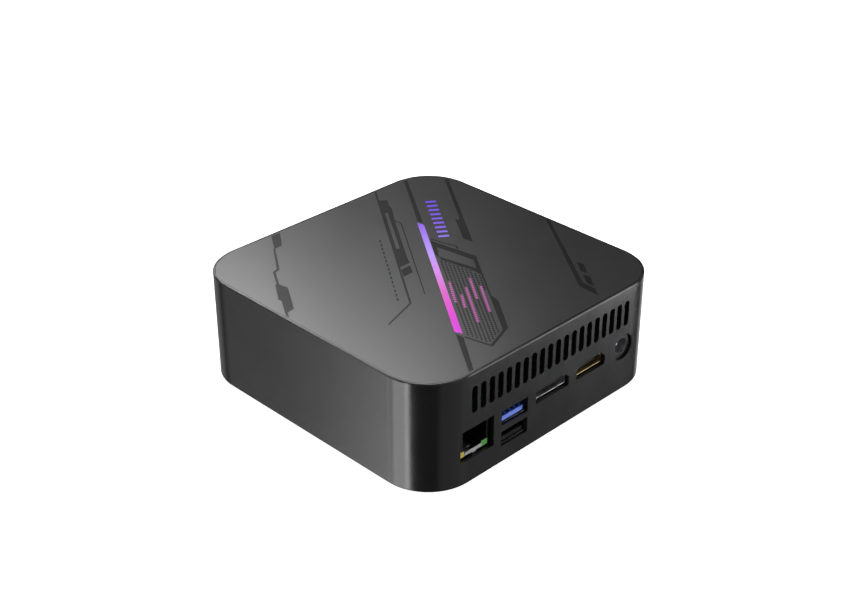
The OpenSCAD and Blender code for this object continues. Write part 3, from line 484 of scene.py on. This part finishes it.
def black_screw_look():
    return metal("black_screw", (0.05, 0.05, 0.055), 0.35, scale=1800, tarnish=(0.09, 0.09, 0.095))


def rubber_look():
    return moulded("rubber", linear("#151516"), 0.8, grain=2200, depth=0.03 * MM, drift=0.25)


def fan_look():
    """Glass-filled plastic: short pale fibres show in the black."""
    look = moulded("fan_plastic", linear("#1c1c1e"), 0.42, grain=2600, depth=0.01 * MM)
    fibres = look.fit(look.noise(2600, 1, along=(1, 0.25, 1)), 0.68, 0.75, 0, 0.35)
    return look.colour(look.mixed(fibres, linear("#1a1a1c"), linear("#5a5a5c")))


def lid_look():
    return metal("fan_lid", (0.42, 0.43, 0.45), 0.36, lines=(0.05, 1, 1))


def cable_look():
    return moulded("cable", linear("#18181a"), 0.45, grain=1500, depth=0.02 * MM, drift=0.2,
                   sheen_weight=0.15)


def socket_look():
    return moulded("socket_plastic", linear("#121213"), 0.24, grain=3000, depth=0.006 * MM, drift=0.2,
                   ior=1.36)


def inlet_look():
    """The power inlet: black outside, and grey inside its bore as a painted sheen."""
    black, grey, bore_radius = linear("#161617"), linear("#6c6c6e"), 3.35 * MM
    look = moulded("inlet_plastic", black, 0.22, grain=3000, depth=0.006 * MM)
    radius = look.distance(middle("dc_jack_pin"), FROM_THE_FRONT)
    # Painted sheen: inside the bore the black plastic is coloured grey
    return look.colour(look.mixed(look.maths("LESS_THAN", radius, bore_radius), black, grey))


def antenna_look():
    """Copper strips etched on brown film."""
    look = Look("antenna_film", roughness=0.4)
    strips = look.fit(look.waves(look.along(0, 0, 1), 2.4 * MM), 0.5, 0.6, 0, 1)
    look.colour(look.mixed(strips, linear("#5a3716"), linear("#b8783e")))
    look.roughness(look.fit(strips, 0, 1, 0.45, 0.3))
    return look.bump(strips, 0.03 * MM)


def cell_look():
    """A nickel-plated coin cell, with turned rings round its middle."""
    look = metal("cell", (0.74, 0.74, 0.75), 0.2, scale=700)
    ring_pitch = 0.35 * MM
    return look.bump(look.waves(look.distance(middle("coin_cell"), FROM_ABOVE), ring_pitch), 0.004 * MM)


def choke_look():
    """Pressed ferrite: coarse, grey and speckled."""
    look = Look("choke", roughness=0.6)
    speck = look.cells(2600)
    look.colour(look.mixed(look.fit(speck, 0.1, 0.7, 0, 1), linear("#4c4d50"), linear("#2c2d2f")))
    return look.bump(speck, 0.03 * MM)


def can_look():
    """Aluminium cans on black bases."""
    aluminium, base_height = (0.7, 0.71, 0.73), 0.8 * MM
    look = metal("can", aluminium, 0.28, scale=1500)
    base_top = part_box("capacitors")[0].z + base_height
    is_can = look.maths("GREATER_THAN", look.along(0, 0, 1), base_top)
    look.colour(look.mixed(is_can, linear("#161618"), aluminium))
    look.feed(look.shader.inputs["Metallic"], is_can)
    return look


def pin_look():
    return metal("pin", (0.86, 0.86, 0.87), 0.4, lines=(1, 0.05, 1), scale=2500)


def port_steel_look():
    return metal("port_steel", (0.72, 0.72, 0.73), 0.42, lines=(1, 0.08, 1))


def dull_steel_look():
    return metal("dull_steel", (0.28, 0.28, 0.285), 0.45, lines=(1, 0.08, 1))


def dark_steel_look():
    return metal("dark_steel", (0.13, 0.13, 0.135), 0.35, lines=(1, 0.08, 1))


def gilt_steel_look():
    return metal("gilt_steel", (0.72, 0.58, 0.28), 0.4, lines=(1, 0.08, 1))


def blue_look():
    return moulded("blue_plastic", linear("#3a66d6"), 0.45, grain=3000, depth=0.006 * MM, drift=0.1, ior=1.6)


def gold_look():
    """Contacts: gilt in the HDMI port, darkened tin in the others."""
    gilt, dark_tin = (0.83, 0.62, 0.26), (0.1, 0.1, 0.11)
    look = metal("contact_gold", gilt, 0.3, lines=(1, 0.05, 1), scale=2500)
    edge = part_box("displayport_shell")[0].x
    tinned = look.maths("GREATER_THAN", look.along(1, 0, 0), edge)
    return look.colour(look.mixed(tinned, gilt, dark_tin))


def lamp_look():
    """The Ethernet jack's two lamps: green on the side of the USB ports, amber at the case's corner."""
    look = Look("lamp", roughness=0.25, transmission_weight=0.25, coat_weight=0.5)
    amber = look.maths("GREATER_THAN", look.along(1, 0, 0), middle("ethernet_lamps").x)
    hue = look.mixed(amber, linear("#5aa848"), linear("#d2c058"))
    body = look.fit(look.noise(900, 2), 0.3, 0.7, 0.85, 1)
    look.colour(look.mixed(body, (0.02, 0.02, 0.02), hue))
    look.feed(look.shader.inputs["Emission Color"], hue)
    look.shader.inputs["Emission Strength"].default_value = 0.12
    return look


def pipe_look():
    """The power light's clear pipe, lit faintly from behind."""
    look = Look("clear_pipe", roughness=0.2, transmission_weight=0.6, coat_weight=0.5)
    tone = look.mixed(look.noise(1200, 2), linear("#dfe8f2"), linear("#f4f8ff"))
    look.colour(tone)
    look.feed(look.shader.inputs["Emission Color"], tone)
    look.shader.inputs["Emission Strength"].default_value = 0.35
    return look


def guide_look():
    """Frosted acrylic, with a grid of fine dots that let the light out."""
    look = Look("light_guide", roughness=0.35, transmission_weight=0.5)
    look.colour(look.mixed(look.noise(300, 2), linear("#dfe3ea"), linear("#f2f4f8")))
    return look.bump(look.cells(900), 0.02 * MM)


LOOKS = {
    "case_plastic": case_look, "cover_plastic": cover_look, "panel": panel_look, "inlay": inlay_look,
    "bar_lens": bar_look, "marks_lens": marks_look, "dots_lens": dots_look, "light_guide": guide_look,
    "circuit_board": board_look, "chip": chip_look, "led": led_look, "ribbon": ribbon_look,
    "silicon": silicon_look, "copper": copper_look, "aluminium_fins": fins_look, "brass": brass_look,
    "screw_steel": screw_look, "black_screw": black_screw_look, "rubber": rubber_look,
    "fan_plastic": fan_look, "fan_lid": lid_look, "cable": cable_look, "socket_plastic": socket_look,
    "antenna_film": antenna_look, "cell": cell_look, "choke": choke_look, "can": can_look,
    "port_steel": port_steel_look, "pin": pin_look, "blue_plastic": blue_look,
    "contact_gold": gold_look, "lamp": lamp_look, "button_plastic": button_look, "clear_pipe": pipe_look,
}

# Nodes whose finish differs from the rest of their slot; the power inlet's look holds a painted sheen in its
# bore
OWN_LOOKS = {"hdmi_shell": gilt_steel_look, "usb_rear_shell": dark_steel_look, "dc_jack": inlet_look,
             "ethernet_shield": dull_steel_look}


def dress_nodes():
    """Gives every CAD node the look of its material slot, or its own."""
    made = {slot: make().material for slot, make in LOOKS.items()}
    for name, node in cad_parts.items():
        own = OWN_LOOKS[name]().material if name in OWN_LOOKS else None
        for slot in node.material_slots:
            slot.material = own or made[slot.material.name.split(".")[0]]


# ---- Dot field ----

# This section is in millimetres. FIELD is the inside edge of the frame beside the light bar, from above
FIELD = [(-8.6, -4.9), (-7.1, -0.4), (-9.6, 13.7), (-9.3, 17.9),
         (1.4, 32.8), (14.5, 50.8), (24, 54.6), (26, 44.6)]
# Rows run along the slope: the first row's place across it, the rows' pitch and number
FIRST_ROW, ROW_PITCH, ROWS = 5.56, 1.37, 10
# Dots along a row: their pitch, and the numbers of the first and the last that may lie in the field
DOT_PITCH, FIRST_DOT, LAST_DOT = 1.35, -5, 54
DOT_RADIUS, DOT_RISE = 0.38, 0.03
# Bare inlay left round a lit bar
LIT_GAP = 0.6


def inside(x, y, outline):
    """Whether a point lies in an outline: it crosses an odd number of the outline's sides."""
    within = False
    for (x1, y1), (x2, y2) in zip(outline, outline[1:] + outline[:1]):
        if (y1 > y) != (y2 > y) and x < x1 + (y - y1) * (x2 - x1) / (y2 - y1):
            within = not within
    return within


def lit_spans():
    """The lit bars of the field: each as (place across the slope, start and end along it), in millimetres."""
    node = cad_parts["light_dots_lens"]
    build = bmesh.new()
    build.from_mesh(node.data)
    seen, spans = set(), []
    bmesh.ops.remove_doubles(build, verts=build.verts, dist=0.001 * MM)
    for first in build.verts:
        if first in seen:
            continue
        island, queue = [], [first]
        seen.add(first)
        while queue:
            vert = queue.pop()
            island.append(vert.co / MM)
            for edge in vert.link_edges:
                other = edge.other_vert(vert)
                if other not in seen:
                    seen.add(other)
                    queue.append(other)
        run = [p.x * ART_ALONG[0] + p.y * ART_ALONG[1] for p in island]
        off = [p.x * ART_ACROSS[0] + p.y * ART_ACROSS[1] for p in island]
        spans.append((sum(off) / len(off), min(run), max(run)))
    build.free()
    return spans


def field_dots():
    """Low round dots of dark print, in rows along the slope, wherever the field isn't lit."""
    spans = lit_spans()
    build = bmesh.new()
    for row in range(ROWS):
        off = FIRST_ROW + row * ROW_PITCH
        for step in range(FIRST_DOT, LAST_DOT + 1):
            run = step * DOT_PITCH
            x = run * ART_ALONG[0] + off * ART_ACROSS[0]
            y = run * ART_ALONG[1] + off * ART_ACROSS[1]
            taken = any(abs(off - lit_off) < LIT_GAP + DOT_RADIUS and start - LIT_GAP < run < end + LIT_GAP
                        for lit_off, start, end in spans)
            if taken or not inside(x, y, FIELD):
                continue
            made = bmesh.ops.create_cone(build, cap_ends=True, segments=12, depth=DOT_RISE * MM,
                                         radius1=DOT_RADIUS * MM, radius2=(DOT_RADIUS - DOT_RISE) * MM)
            bmesh.ops.translate(build, verts=made["verts"], vec=(x * MM, y * MM, TOP + DOT_RISE / 2 * MM))
    mesh = bpy.data.meshes.new("field_dots")
    build.to_mesh(mesh)
    build.free()
    dots = bpy.data.objects.new("field_dots", mesh)
    bpy.context.scene.collection.objects.link(dots)
    return dots


make_camera()
make_world()
make_lights()
make_stage()
dress_nodes()

dots = field_dots()
dots.data.materials.append(print_look().material)
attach(dots, BODY)
